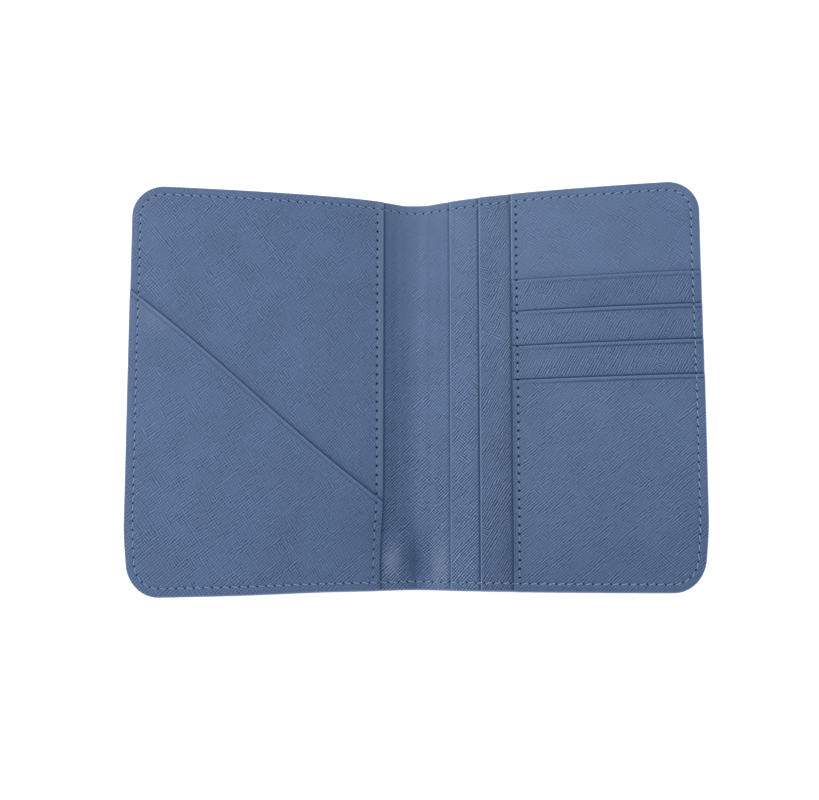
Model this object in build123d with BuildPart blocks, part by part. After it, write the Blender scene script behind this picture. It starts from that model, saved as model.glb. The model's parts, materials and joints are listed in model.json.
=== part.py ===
from build123d import *
import os
from math import cos, radians, sin

# A two-fold leather passport holder, lying open on its spine with its inside up.
# Its covers rise from the spine in a shallow V and flatten towards their outer edges.
# Millimetres: +X runs to the back cover, +Y to the head, +Z up, and the origin is under
# the middle of the spine. Heights of layers are measured square to a cover's outer face.

# Overall size, seen from above
OPEN_WIDTH = 195.2
HEIGHT = 140.8
CORNER_RADIUS = 11.0

# Bend of the outer face: a flat foot, two tight bends up to the creases, then two long arcs
FOOT_HALF_WIDTH = 2.5
SPINE_BEND_RADIUS = 7.0
CREASE_SLOPE = radians(33.5)
STEEP_RADIUS = 90.0
STEEP_RUN = 24.0
SHALLOW_RADIUS = 410.0
COVER_RUN = 104.0

# Thickness of each sheet
SKIN = 0.8
FRONT_BOARD = 1.15
BACK_BOARD = 0.3
LINING = 0.35
SLEEVE = 0.6
DIAGONAL = 0.6
BACK_SLEEVE = 0.5
CARD_BASE = 0.4
CARD_STRIP = 0.4
CARD_FRONT = 0.5
TAIL = 0.15
SPINE_REINFORCEMENT = 0.3
POCKET_GAP = 0.1
SLOT_GAP = 0.05
EDGE_COAT = 0.3

# Room at the creases, so that the covers turn without rubbing
CREASE_GAP = 0.15
SPINE_LAYER_GAP = 0.4
COVER_LAYER_START = 1.5
BOARD_START = 2.5
COVER_COAT_START = 2.0

# Pocket mouths: distance from the middle of the spine
SLEEVE_MOUTH = 11.5
BACK_SLEEVE_MOUTH = 12.4
SLIP_MOUTH = 22.7
CARD_PANEL_EDGE = 33.9
SLOT_MOUTHS = (38.5, 27.1, 14.8, 2.8)
STRIP_DEPTH = 18.0
TAIL_END = (-36.5, -48.0, -59.5)
TAIL_MARGIN = 4.5
DIAGONAL_OUTER_Y = 34.1
DIAGONAL_INNER_Y = -38.9

# Sewing thread
SEAM_INSET = 3.1
STITCH_PITCH = 3.0
STITCH_LENGTH = 2.3
THREAD_WIDTH = 0.45
THREAD_RISE = 0.25
THREAD_GAP = 0.02
SLEEVE_SEAM = 13.8
CARD_SEAM = 35.7
SEAM_END_INSET = 5.0
SPINE_SEAM_HALF = 3.0

FRONT, BACK = -1, 1
HALF_WIDTH = OPEN_WIDTH / 2
HALF_HEIGHT = HEIGHT / 2
TALL = 60.0
PAST_EDGE = 1.0
BLANK_X = HALF_WIDTH + PAST_EDGE
BLANK_Y = HALF_HEIGHT + PAST_EDGE

# Place of the creases, which are the hinge lines of the two covers
CREASE_X = FOOT_HALF_WIDTH + SPINE_BEND_RADIUS * sin(CREASE_SLOPE)
CREASE_Z = SPINE_BEND_RADIUS * (1 - cos(CREASE_SLOPE))
HINGE_X = CREASE_X - SKIN / 2 * sin(CREASE_SLOPE)
HINGE_Z = CREASE_Z + SKIN / 2 * cos(CREASE_SLOPE)

# Bottom and top of every layer of the front cover
front_board_low = SKIN
front_lining_low = front_board_low + FRONT_BOARD
front_lining_top = front_lining_low + LINING
sleeve_low = front_lining_top + POCKET_GAP
sleeve_top = sleeve_low + SLEEVE
diagonal_low = sleeve_top + POCKET_GAP
diagonal_top = diagonal_low + DIAGONAL

# Bottom and top of every layer of the back cover
back_lining_low = SKIN + BACK_BOARD
back_lining_top = back_lining_low + LINING
back_sleeve_low = back_lining_top + POCKET_GAP
back_sleeve_top = back_sleeve_low + BACK_SLEEVE
slip_low = back_sleeve_top + POCKET_GAP
slip_top = slip_low + BACK_SLEEVE
card_base_low = slip_top + POCKET_GAP
card_base_top = card_base_low + CARD_BASE
strip_lows = [card_base_top + SLOT_GAP + row * (CARD_STRIP + SLOT_GAP) for row in range(3)]
strip_tops = [low + CARD_STRIP for low in strip_lows]
card_front_low = strip_tops[-1] + SLOT_GAP
card_front_top = card_front_low + CARD_FRONT

# The spine has no board, only a thin reinforcement
spine_lining_low = SKIN + SPINE_REINFORCEMENT
spine_top = spine_lining_low + LINING


def arc_step(x, z, slope, run, radius):
    """Where a run along an arc leads, when the slope falls by run / radius."""
    end_slope = slope - run / radius
    end_x = x + radius * (sin(slope) - sin(end_slope))
    end_z = z + radius * (cos(end_slope) - cos(slope))
    return end_x, end_z, end_slope


def cover_place(run, height):
    """Point of a cover in section, and the slope there, from the run past its crease."""
    x, z, slope = arc_step(CREASE_X, CREASE_Z, CREASE_SLOPE, min(run, STEEP_RUN), STEEP_RADIUS)
    x, z, slope = arc_step(x, z, slope, max(run - STEEP_RUN, 0), SHALLOW_RADIUS)
    return (x - height * sin(slope), z + height * cos(slope)), slope


def run_at(x, height):
    """The run past the crease at which a layer lies at the distance x from the middle."""
    low, high = 0.0, COVER_RUN
    for _ in range(40):
        middle = (low + high) / 2
        if cover_place(middle, height)[0][0] < x:
            low = middle
        else:
            high = middle
    return low


def cover_arc(side, height, start, end):
    """Three points of the arc that a layer's face follows from one run to another."""
    runs = (start, (start + end) / 2, end)
    places = [cover_place(run, height)[0] for run in runs]
    return [(side * x, z) for x, z in places]


def curved_sheet(side, low, high, x_from, x_to=BLANK_X, y_low=-BLANK_Y, y_high=BLANK_Y, mode=Mode.ADD):
    """Add or cut a blank of one cover layer, which runs past the outline unless its ends are given."""
    steep_low = cover_arc(side, low, 0, STEEP_RUN)
    shallow_low = cover_arc(side, low, STEEP_RUN, COVER_RUN)
    steep_high = cover_arc(side, high, 0, STEEP_RUN)
    shallow_high = cover_arc(side, high, STEEP_RUN, COVER_RUN)
    with BuildSketch(Plane.XZ.offset(-y_high)) as section:
        with BuildLine():
            ThreePointArc(*steep_low)
            ThreePointArc(*shallow_low)
            Line(shallow_low[-1], shallow_high[-1])
            ThreePointArc(*shallow_high)
            ThreePointArc(*steep_high)
            Line(steep_high[0], steep_low[0])
        make_face()
        with Locations((side * (x_from + x_to) / 2, 0)):
            Rectangle(x_to - x_from, 2 * TALL, mode=Mode.INTERSECT)
    extrude(section.sketch, amount=y_high - y_low, mode=mode)


def cut_to_outline(inset, mode=Mode.INTERSECT):
    """Keep or remove what lies inside the rounded outline of the open holder."""
    with BuildSketch(Plane.XY.offset(-TALL)) as outline:
        width = OPEN_WIDTH - 2 * inset
        RectangleRounded(width, HEIGHT - 2 * inset, CORNER_RADIUS - inset)
    extrude(outline.sketch, amount=2 * TALL, mode=mode)


def leather_layer(side, low, high, x_from, y_low=-BLANK_Y, y_high=BLANK_Y):
    """A sheet that runs from a mouth or crease to the painted outer edge."""
    curved_sheet(side, low, high, x_from, BLANK_X, y_low, y_high)
    cut_to_outline(EDGE_COAT)


def cover_skin(side):
    """Outer leather of a cover, with a rolled crease that turns about the hinge line."""
    leather_layer(side, 0, SKIN, 0)
    with BuildSketch(Plane.XZ.offset(-HALF_HEIGHT + EDGE_COAT)) as crease:
        with Locations((side * HINGE_X, HINGE_Z)):
            Circle(SKIN / 2)
    extrude(crease.sketch, amount=HEIGHT - 2 * EDGE_COAT)


def spine_bend(side, height, slope):
    """Three points of the bend from the spine's foot up to a slope, on one side."""
    radius = SPINE_BEND_RADIUS - height
    angles = (0, slope / 2, slope)
    spots = [(FOOT_HALF_WIDTH + radius * sin(a), SPINE_BEND_RADIUS - radius * cos(a)) for a in angles]
    return [(side * x, z) for x, z in spots]


def spine_sheet(low, high, slope, y_low, y_high):
    """Add one layer of the spine: a flat foot with a bend up to each side."""
    with BuildSketch(Plane.XZ.offset(-y_high)) as section:
        with BuildLine():
            for height in (low, high):
                Line((-FOOT_HALF_WIDTH, height), (FOOT_HALF_WIDTH, height))
                for side in (FRONT, BACK):
                    ThreePointArc(*spine_bend(side, height, slope))
            for side in (FRONT, BACK):
                Line(spine_bend(side, low, slope)[-1], spine_bend(side, high, slope)[-1])
        make_face()
    extrude(section.sketch, amount=y_high - y_low)


def front_level(x, y):
    """Height of the top sheet of the front cover at a distance from the middle."""
    if x < SLEEVE_MOUTH:
        return front_lining_top
    share = (x - SLEEVE_MOUTH) / (HALF_WIDTH - SLEEVE_MOUTH)
    edge_y = DIAGONAL_INNER_Y + share * (DIAGONAL_OUTER_Y - DIAGONAL_INNER_Y)
    return diagonal_top if y < edge_y else sleeve_top


def back_level(x, y):
    """Height of the top sheet of the back cover at a distance from the middle."""
    if x < BACK_SLEEVE_MOUTH:
        return back_lining_top
    if x < SLIP_MOUTH:
        return back_sleeve_top
    if x < CARD_PANEL_EDGE:
        return slip_top
    level = card_base_top
    for mouth, top in zip(SLOT_MOUTHS, [*strip_tops, card_front_top]):
        if y < mouth:
            level = top
    return level


def stitch_places(side, path, level):
    """A plane for each stitch along a seam, lying on the sheet under it."""
    count = round(path.length / STITCH_PITCH)
    places = []
    for number in range(count):
        share = (number + 0.5) / count
        spot = path.position_at(share)
        heading = path.tangent_at(share)
        reach = STITCH_LENGTH / 2
        ends = [spot - heading * reach, spot, spot + heading * reach]
        height = max(level(end.X, end.Y) for end in ends) + THREAD_GAP
        (x, z), slope = cover_place(run_at(spot.X, height), height)
        along = Vector(side * heading.X * cos(slope), heading.Y, heading.X * sin(slope))
        upright = Vector(-side * sin(slope), 0, cos(slope))
        places.append(Plane(origin=(side * x, spot.Y, z), x_dir=along, z_dir=upright))
    return places


def sew(side, path, level):
    """One row of stitches, each a short flat length of thread."""
    with Locations(*stitch_places(side, path, level)):
        Box(STITCH_LENGTH, THREAD_WIDTH, THREAD_RISE, align=(Align.CENTER, Align.CENTER, Align.MIN))


# Seams in plan, drawn on the side of +X and used for both covers
seam_x = HALF_WIDTH - SEAM_INSET
seam_y = HALF_HEIGHT - SEAM_INSET
with BuildLine() as perimeter_seam:
    FilletPolyline(
        (CREASE_X + COVER_LAYER_START, seam_y),
        (seam_x, seam_y),
        (seam_x, -seam_y),
        (CREASE_X + COVER_LAYER_START, -seam_y),
        radius=CORNER_RADIUS - SEAM_INSET,
    )
seam_end = HALF_HEIGHT - SEAM_END_INSET
with BuildLine() as sleeve_seam:
    Line((SLEEVE_SEAM, seam_end), (SLEEVE_SEAM, -seam_end))
with BuildLine() as card_seam:
    Line((CARD_SEAM, seam_end), (CARD_SEAM, -seam_end))

# ---- Spine ----

with BuildPart() as spine_skin:
    spine_sheet(0, SKIN, CREASE_SLOPE, -HALF_HEIGHT + EDGE_COAT, HALF_HEIGHT - EDGE_COAT)
    with BuildSketch(Plane.XZ.offset(-HALF_HEIGHT)):
        with Locations((-HINGE_X, HINGE_Z), (HINGE_X, HINGE_Z)):
            Circle(SKIN / 2 + CREASE_GAP)
    extrude(amount=HEIGHT, mode=Mode.SUBTRACT)

layer_slope = CREASE_SLOPE - SPINE_LAYER_GAP / SPINE_BEND_RADIUS
leather_end = HALF_HEIGHT - EDGE_COAT

with BuildPart() as spine_reinforcement:
    spine_sheet(SKIN, spine_lining_low, layer_slope, -leather_end, leather_end)

with BuildPart() as spine_lining:
    spine_sheet(spine_lining_low, spine_top, layer_slope, -leather_end, leather_end)

with BuildPart() as spine_edge_coating:
    coat_slope = CREASE_SLOPE - (SKIN / 2 + CREASE_GAP) / SPINE_BEND_RADIUS
    spine_sheet(0, spine_top, coat_slope, leather_end, HALF_HEIGHT)
    spine_sheet(0, spine_top, coat_slope, -HALF_HEIGHT, -leather_end)

with BuildPart() as spine_thread:
    with Locations((0, seam_y, spine_top + THREAD_GAP), (0, -seam_y, spine_top + THREAD_GAP)):
        with GridLocations(STITCH_PITCH, 0, round(2 * SPINE_SEAM_HALF / STITCH_PITCH), 1):
            Box(STITCH_LENGTH, THREAD_WIDTH, THREAD_RISE, align=(Align.CENTER, Align.CENTER, Align.MIN))

# ---- Front cover, on the side of -X ----

with BuildPart() as front_cover_skin:
    cover_skin(FRONT)

with BuildPart() as front_cover_board:
    leather_layer(FRONT, front_board_low, front_lining_low, CREASE_X + BOARD_START)

with BuildPart() as front_lining:
    leather_layer(FRONT, front_lining_low, front_lining_top, CREASE_X + COVER_LAYER_START)

with BuildPart() as front_sleeve_panel:
    leather_layer(FRONT, sleeve_low, sleeve_top, SLEEVE_MOUTH)

with BuildPart() as diagonal_pocket:
    leather_layer(FRONT, diagonal_low, diagonal_top, SLEEVE_MOUTH)
    with BuildSketch(Plane.XY.offset(-TALL)):
        with BuildLine():
            Polyline(
                (-SLEEVE_MOUTH, DIAGONAL_INNER_Y),
                (-SLEEVE_MOUTH, -HALF_HEIGHT),
                (-HALF_WIDTH, -HALF_HEIGHT),
                (-HALF_WIDTH, DIAGONAL_OUTER_Y),
                close=True,
            )
        make_face()
    extrude(amount=2 * TALL, mode=Mode.INTERSECT)

with BuildPart() as front_edge_coating:
    coat_start = CREASE_X + COVER_COAT_START
    curved_sheet(FRONT, 0, diagonal_top, coat_start)
    curved_sheet(FRONT, front_lining_top, TALL, 0, SLEEVE_MOUTH, mode=Mode.SUBTRACT)
    curved_sheet(FRONT, sleeve_top, TALL, 0, y_low=DIAGONAL_OUTER_Y, mode=Mode.SUBTRACT)
    cut_to_outline(0)
    cut_to_outline(EDGE_COAT, Mode.SUBTRACT)

with BuildPart() as front_perimeter_thread:
    sew(FRONT, perimeter_seam.wire(), front_level)

with BuildPart() as front_sleeve_thread:
    sew(FRONT, sleeve_seam.wire(), front_level)

# ---- Back cover, on the side of +X ----

with BuildPart() as back_cover_skin:
    cover_skin(BACK)

with BuildPart() as back_cover_board:
    leather_layer(BACK, SKIN, back_lining_low, CREASE_X + BOARD_START)

with BuildPart() as back_lining:
    leather_layer(BACK, back_lining_low, back_lining_top, CREASE_X + COVER_LAYER_START)

with BuildPart() as back_sleeve_panel:
    leather_layer(BACK, back_sleeve_low, back_sleeve_top, BACK_SLEEVE_MOUTH)

with BuildPart() as slip_pocket_panel:
    leather_layer(BACK, slip_low, slip_top, SLIP_MOUTH)

with BuildPart() as card_base_panel:
    leather_layer(BACK, card_base_low, card_base_top, CARD_PANEL_EDGE)

with BuildPart() as card_front_pocket:
    leather_layer(BACK, card_front_low, card_front_top, CARD_PANEL_EDGE, y_high=SLOT_MOUTHS[-1])

with BuildPart() as back_edge_coating:
    curved_sheet(BACK, 0, card_front_top, CREASE_X + COVER_COAT_START)
    mouth_levels = (
        (BACK_SLEEVE_MOUTH, back_lining_top),
        (SLIP_MOUTH, back_sleeve_top),
        (CARD_PANEL_EDGE, slip_top),
    )
    for mouth, level in mouth_levels:
        curved_sheet(BACK, level, TALL, 0, mouth, mode=Mode.SUBTRACT)
    for mouth, level in zip(SLOT_MOUTHS, [card_base_top, *strip_tops]):
        curved_sheet(BACK, level, TALL, 0, y_low=mouth, mode=Mode.SUBTRACT)
    cut_to_outline(0)
    cut_to_outline(EDGE_COAT, Mode.SUBTRACT)

with BuildPart() as back_perimeter_thread:
    sew(BACK, perimeter_seam.wire(), back_level)

with BuildPart() as card_panel_thread:
    sew(BACK, card_seam.wire(), back_level)

pieces = {
    "spine_skin": spine_skin,
    "spine_reinforcement": spine_reinforcement,
    "spine_lining": spine_lining,
    "spine_edge_coating": spine_edge_coating,
    "spine_thread": spine_thread,
    "front_cover_skin": front_cover_skin,
    "front_cover_board": front_cover_board,
    "front_lining": front_lining,
    "front_sleeve_panel": front_sleeve_panel,
    "diagonal_pocket": diagonal_pocket,
    "front_edge_coating": front_edge_coating,
    "front_perimeter_thread": front_perimeter_thread,
    "front_sleeve_thread": front_sleeve_thread,
    "back_cover_skin": back_cover_skin,
    "back_cover_board": back_cover_board,
    "back_lining": back_lining,
    "back_sleeve_panel": back_sleeve_panel,
    "slip_pocket_panel": slip_pocket_panel,
    "card_base_panel": card_base_panel,
    "card_front_pocket": card_front_pocket,
    "back_edge_coating": back_edge_coating,
    "back_perimeter_thread": back_perimeter_thread,
    "card_panel_thread": card_panel_thread,
}

# Three stepped card pockets under the front one, each a leather strip with a cloth tail
for row, mouth in enumerate(SLOT_MOUTHS[:3]):
    strip_bottom = mouth - STRIP_DEPTH
    with BuildPart() as card_strip:
        leather_layer(BACK, strip_lows[row], strip_tops[row], CARD_PANEL_EDGE, strip_bottom, mouth)
    pieces[f"card_pocket_{row + 1}"] = card_strip
    tail_edges = (CARD_PANEL_EDGE + TAIL_MARGIN, HALF_WIDTH - TAIL_MARGIN)
    with BuildPart() as tail:
        curved_sheet(BACK, strip_lows[row], strip_lows[row] + TAIL, *tail_edges, TAIL_END[row], strip_bottom)
    pieces[f"card_pocket_tail_{row + 1}"] = tail

os.makedirs("parts", exist_ok=True)
for name, piece in pieces.items():
    piece.part.label = name
    export_step(piece.part, f"parts/{name}.step")
print("hinge line at x", round(HINGE_X, 3), "z", round(HINGE_Z, 3))
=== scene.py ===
"""Looks of a two-fold leather passport holder, which lies open on its spine with its inside up.

Lengths in the helpers are millimetres, and every mesh is written in metres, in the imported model's frame:
+X runs to the back cover, +Y to the head, and +Z up. The helpers work with x as a distance from the middle,
and side (FRONT or BACK) says which cover is meant. A layer's height is measured square to the outer face.
"""
import json
from math import atan2, cos, pi, radians, sin

import bpy
import numpy as np
from mathutils import Matrix, Vector


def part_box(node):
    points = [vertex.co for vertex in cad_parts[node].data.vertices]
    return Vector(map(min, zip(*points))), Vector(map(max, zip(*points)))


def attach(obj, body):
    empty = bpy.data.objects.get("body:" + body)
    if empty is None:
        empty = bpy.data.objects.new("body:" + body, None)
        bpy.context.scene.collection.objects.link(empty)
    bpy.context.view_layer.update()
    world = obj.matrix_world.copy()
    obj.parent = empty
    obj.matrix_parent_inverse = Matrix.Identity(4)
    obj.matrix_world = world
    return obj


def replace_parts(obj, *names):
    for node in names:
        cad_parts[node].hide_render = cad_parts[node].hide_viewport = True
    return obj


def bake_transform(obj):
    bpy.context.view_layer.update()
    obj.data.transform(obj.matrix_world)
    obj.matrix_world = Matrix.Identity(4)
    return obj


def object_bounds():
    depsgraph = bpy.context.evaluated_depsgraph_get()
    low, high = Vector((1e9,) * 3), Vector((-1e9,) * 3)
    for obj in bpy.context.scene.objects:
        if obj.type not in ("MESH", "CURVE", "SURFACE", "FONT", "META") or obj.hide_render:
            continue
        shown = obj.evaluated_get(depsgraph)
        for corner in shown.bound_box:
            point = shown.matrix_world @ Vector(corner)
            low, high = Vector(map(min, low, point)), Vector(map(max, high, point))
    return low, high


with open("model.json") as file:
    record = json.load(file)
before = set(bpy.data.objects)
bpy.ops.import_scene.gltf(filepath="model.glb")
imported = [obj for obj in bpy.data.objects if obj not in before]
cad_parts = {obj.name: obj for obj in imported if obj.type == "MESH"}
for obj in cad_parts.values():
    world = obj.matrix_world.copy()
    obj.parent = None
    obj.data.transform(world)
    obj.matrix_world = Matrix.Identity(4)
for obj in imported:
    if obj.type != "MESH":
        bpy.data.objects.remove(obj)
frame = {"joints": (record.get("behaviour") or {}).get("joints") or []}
cad_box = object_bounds()
scene = bpy.context.scene

MM = 0.001
FRONT, BACK = -1, 1
NAMES = {FRONT: "front", BACK: "back"}

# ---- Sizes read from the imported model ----


def node_box(name):
    """Lowest and highest corner of a CAD node, in millimetres."""
    low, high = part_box(name)
    return low / MM, high / MM


HALF_WIDTH = cad_box[1].x / MM
HALF_HEIGHT = cad_box[1].y / MM
SLEEVE_MOUTH = -node_box("front_sleeve_panel")[1].x
BACK_SLEEVE_MOUTH = node_box("back_sleeve_panel")[0].x
SLIP_MOUTH = node_box("slip_pocket_panel")[0].x
CARD_EDGE = node_box("card_base_panel")[0].x
STRIP_NODES = ["card_pocket_1", "card_pocket_2", "card_pocket_3"]
SLOT_MOUTHS = [node_box(name)[1].y for name in [*STRIP_NODES, "card_front_pocket"]]
STRIP_ENDS = [node_box(name)[0].y for name in STRIP_NODES]
DIAGONAL_OUTER_Y = node_box("diagonal_pocket")[1].y
SLEEVE_SEAM = -sum(corner.x for corner in node_box("front_sleeve_thread")) / 2
CARD_SEAM = sum(corner.x for corner in node_box("card_panel_thread")) / 2

# ---- Driving sizes that the boxes don't tell ----

CORNER_RADIUS = 11.0
FOOT_HALF_WIDTH = 2.5
SPINE_BEND_RADIUS = 7.0
CREASE_SLOPE = radians(33.5)
STEEP_RADIUS = 90.0
STEEP_RUN = 24.0
SHALLOW_RADIUS = 410.0
DIAGONAL_INNER_Y = -38.9
DIAGONAL_WAVE = 0.75

# Height of the underside of each sheet, and its thickness
SKIN = (0.0, 0.8)
FRONT_BOARD = (0.8, 1.15)
FRONT_LINING = (1.95, 0.35)
FRONT_SLEEVE = (2.4, 0.6)
DIAGONAL = (3.1, 0.6)
BACK_BOARD = (0.8, 0.3)
BACK_LINING = (1.1, 0.35)
BACK_SLEEVE = (1.55, 0.5)
SLIP = (2.15, 0.5)
CARD_BASE = (2.75, 0.4)
STRIPS = [(3.2, 0.4), (3.65, 0.4), (4.1, 0.4)]
CARD_FRONT = (4.55, 0.5)
TAIL_THICKNESS = 0.15
SPINE_STRIP = (0.82, 0.25)
SPINE_STRIP_HALF = 2.4

# Edges, folds and seams
PAINT_WIDTH = 0.65
PAINT_PROUD = 0.04
PANEL_INSET = 0.62
BOARD_INSET = 4.0
BOARD_START = 11.5
SEAM_INSET = 3.1
STITCH_PITCH = 3.0
SLEEVE_STITCH_PITCH = 3.25
COVER_SEAM_GAP = 2.0
STITCH_PULL = 0.4
GROOVE_WIDTH = 0.55
GROOVE_DEPTH = 0.16
OUTER_GROOVE_WIDTH = 0.77
OUTER_GROOVE_DEPTH = 0.24
EDGE_DROP = 0.3
OUTER_EDGE_DROP = 0.15
EDGE_ROUNDING = 1.5
MOUTH_LIFT = 0.22
MOUTH_LIFT_WIDTH = 3.0
MOUTH_FREE = (SEAM_INSET, SEAM_INSET + 8)
FOLD_CREASE = 1.35
FOLD_CREASE_WIDTH = 0.24
FOLD_CREASE_DEPTH = 0.07
HEM_MIDDLE = 0.6
HEM_WIDTH = 0.5
HEM_PLUMP = 0.05
STEP_BLUR = 0.7

# Thread: its stitches' half length in pitches, how far their ends dip and how thin they are, and their slant
THREAD_HALF_WIDTH = 0.15
THREAD_HALF_RISE = 0.13
STITCH_HALF_SHARE = 0.42
STITCH_DIP = 0.42
THREAD_SIT = 0.55
THREAD_END = 0.4
PERIMETER_SLANT = 0.26
COVER_SLANT = 0.12

# How the sewn holder has pulled out of true, and where along x or y each pull begins and is full
OUT_OF_SQUARE = 0.009
TAIL_TUCK = 1.7
TUCK_POWER = 4
TAIL_HOLLOW = 0.4
HOLLOW_X = -31
HOLLOW_WIDTH = 20
NEAR_TAIL = (-45, -70)
SLEEVE_LEAN = 1.2
LEAN_FROM_SPINE = (-5, -12)
LEAN_TO_SIDE = (-15, -60)
LEAN_TO_TAIL = (-32, -62)

# Slow waves that all the layers of a cover share, with their lengths along x and y
RUMPLE_HEIGHT = 0.13
RUMPLE_REACH = (16, 46)
RUMPLE_PHASE = {FRONT: 0.7, BACK: 2.1}
LONG_WAVE = (13, 31)
CROSS_WAVE = (47, 19)

# The lining bridges the two creases of the spine in one rounded valley
VALLEY_SLOPE = 0.68
VALLEY_ROUNDING = 4.6
VALLEY_EDGE = (9.0, 13.0)
BRIDGE_ROUNDING = 0.02
LINING_CLIMB = (2.0, 10.0)
SEWN_LIFT = 0.45
SEWN_RUN = (2.0, 12.0)
HEAD_PUCKER = 0.3

# Where each hinge lies and half the width of its bend, from the spine to the cover; the grid is finer there
HINGE_X = abs(frame["joints"][0]["pos_m"][0]) / MM
BEND_HALF = 4.1

# Soft patches of painted shade: an amount, then where it begins and is full along x, and along y. They say
# how much painted shade darkens the leather of a cover, of its panels and of the stepped slots.
ANYWHERE = (-200, -100)
COVER_SHADES = {
    FRONT: [(0.12, (80, 30), (10, -60)), (0.05, ANYWHERE, (-30, -55))],
    BACK: [(0.12, (15, 35), (10, -60)), (0.05, (25, 35), (-30, -55)), (0.07, (25, 35), (-46, -58))],
}
PANEL_SHADES = {
    "back_sleeve": [],
    "slip_pocket": [(0.06, ANYWHERE, (20, 0)), (0.08, ANYWHERE, (-20, -60))],
    "card_base": [(0.05, ANYWHERE, ANYWHERE)],
}
ROW_SHADES = [(0.07, (45, 65), ANYWHERE)]

# Soft spots: an amount, a centre and a size. The lining's pucker is a raised bump; the others are painted
# shade, or painted light where the amount is below zero. The valley's are placed across it and up from its
# tail, and the lining's pucker out from the spine and in from the head or tail.
LINING_PUCKER = [(0.4, (7.5, 8.5), (2.4, 4.2))]
ROW_SPOTS = [(0.12, (63, 31), (11, 5))]
DIAGONAL_SPOTS = [(-0.14, (88, 24), (6, 6))]
VALLEY_SPOTS = [(0.7, (0.2, 10), (3.7, 11)), (-0.55, (-8.2, 11), (3.4, 7)), (-0.24, (9, 9), (4, 8))]

# Streaks of painted light along the valley: an amount, a place and a width across it, and where they begin
# and are full
VALLEY_LIGHT_STREAKS = [(-0.08, -4, 5, (10, 30)), (-0.05, 9, 5, (40, 10))]

# Shadow by a fold that lies over the leather, and under the lower half of the diagonal mouth
NEAR_FOLD_SHADE = 0.14
NEAR_FOLD_WIDTH = 2.6
DIAGONAL_SHADOW = 0.3
DIAGONAL_SHADOW_WIDTH = 1.3
DIAGONAL_SHADOW_REACH = (60, 25)
SLEEVE_FOLD_LIGHT = 0.2
SLEEVE_FOLD_WIDTH = 3

# How sharp the grain is, at the head and at the tail, and how much turned hems show
LINING_CRISP = (0.35, 2.1)
DIAGONAL_CRISP = (0.5, 1.3)
ROW_CRISP = (1.27, 1.26, 1.45)
CARD_FRONT_CRISP = (0.8, 1.42)
DIAGONAL_HEM = 0.3
ROW_HEM = (0.4, 0.75, 0.75)
CARD_FRONT_HEM = 0.7
HEM_AT_SEAM = 0.25
HEM_GROWTH = (CARD_SEAM, CARD_SEAM + 25)

# Corner centres of the outline, and of the two arcs that a cover follows in section
BEND_X = HALF_WIDTH - CORNER_RADIUS
BEND_Y = HALF_HEIGHT - CORNER_RADIUS
KNEE_SLOPE = CREASE_SLOPE - STEEP_RUN / STEEP_RADIUS
CREASE_X = FOOT_HALF_WIDTH + SPINE_BEND_RADIUS * sin(CREASE_SLOPE)
CREASE_Z = SPINE_BEND_RADIUS * (1 - cos(CREASE_SLOPE))
STEEP_X = CREASE_X + STEEP_RADIUS * sin(CREASE_SLOPE)
STEEP_Z = CREASE_Z - STEEP_RADIUS * cos(CREASE_SLOPE)
KNEE_X = STEEP_X - STEEP_RADIUS * sin(KNEE_SLOPE)
SHALLOW_X = STEEP_X + (SHALLOW_RADIUS - STEEP_RADIUS) * sin(KNEE_SLOPE)
SHALLOW_Z = STEEP_Z - (SHALLOW_RADIUS - STEEP_RADIUS) * cos(KNEE_SLOPE)


# ---- Shape of the folded holder ----


def ease(value, start, end):
    """A soft step from 0 at start to 1 at end, which may be the smaller of the two."""
    share = np.clip((value - start) / (end - start), 0, 1)
    return share * share * (3 - 2 * share)


def bell(distance, width):
    return np.exp(-((distance / width) ** 2))


def spots(x, y, rows):
    """Sum of soft spots."""
    return sum(amount * bell(x - at[0], size[0]) * bell(y - at[1], size[1]) for amount, at, size in rows)


def patches(x, y, rows):
    """Sum of soft patches."""
    return sum(amount * ease(x, *across) * ease(y, *up) for amount, across, up in rows)


def section_z(x, height):
    """Height above the table of a layer at a distance x from the middle of the spine."""
    past_foot = np.maximum(x - FOOT_HALF_WIDTH, 0)
    bend = SPINE_BEND_RADIUS - np.sqrt(np.maximum((SPINE_BEND_RADIUS - height) ** 2 - past_foot**2, 0))
    steep = STEEP_Z + np.sqrt((STEEP_RADIUS + height) ** 2 - (STEEP_X - np.minimum(x, STEEP_X)) ** 2)
    shallow = SHALLOW_Z + np.sqrt((SHALLOW_RADIUS + height) ** 2 - (SHALLOW_X - x) ** 2)
    in_bend = x < CREASE_X - height * sin(CREASE_SLOPE)
    in_steep = x < KNEE_X - height * sin(KNEE_SLOPE)
    return np.where(in_bend, bend, np.where(in_steep, steep, shallow))


def section_slope(x, height):
    step = 0.05
    return np.arctan2(section_z(x + step, height) - section_z(np.abs(x - step), height), 2 * step)


run_x = np.linspace(0, HALF_WIDTH + 1, 2000)
run_length = np.concatenate([[0], np.cumsum(np.hypot(np.diff(run_x), np.diff(section_z(run_x, 1.0))))])


def run_at(x):
    """Length along the bent leather from the middle of the spine to the distance x."""
    return np.interp(x, run_x, run_length)


def edge_distance(x, y):
    """Distance inwards from the rounded outline, seen from above."""
    across = x - BEND_X
    up = np.abs(y) - BEND_Y
    corner = CORNER_RADIUS - np.hypot(across, up)
    return np.where((across > 0) & (up > 0), corner, CORNER_RADIUS - np.maximum(across, up))


def outline_y(x, inset):
    """Half the height of the outline at a distance x from the middle."""
    over = np.clip(x - BEND_X, 0, CORNER_RADIUS - inset)
    return BEND_Y + np.sqrt((CORNER_RADIUS - inset) ** 2 - over**2)


def half_loop(inset):
    """Length of the outline at an inset, from the middle of the head to the middle of a cover's side."""
    return BEND_X + (CORNER_RADIUS - inset) * pi / 2 + BEND_Y


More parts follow.
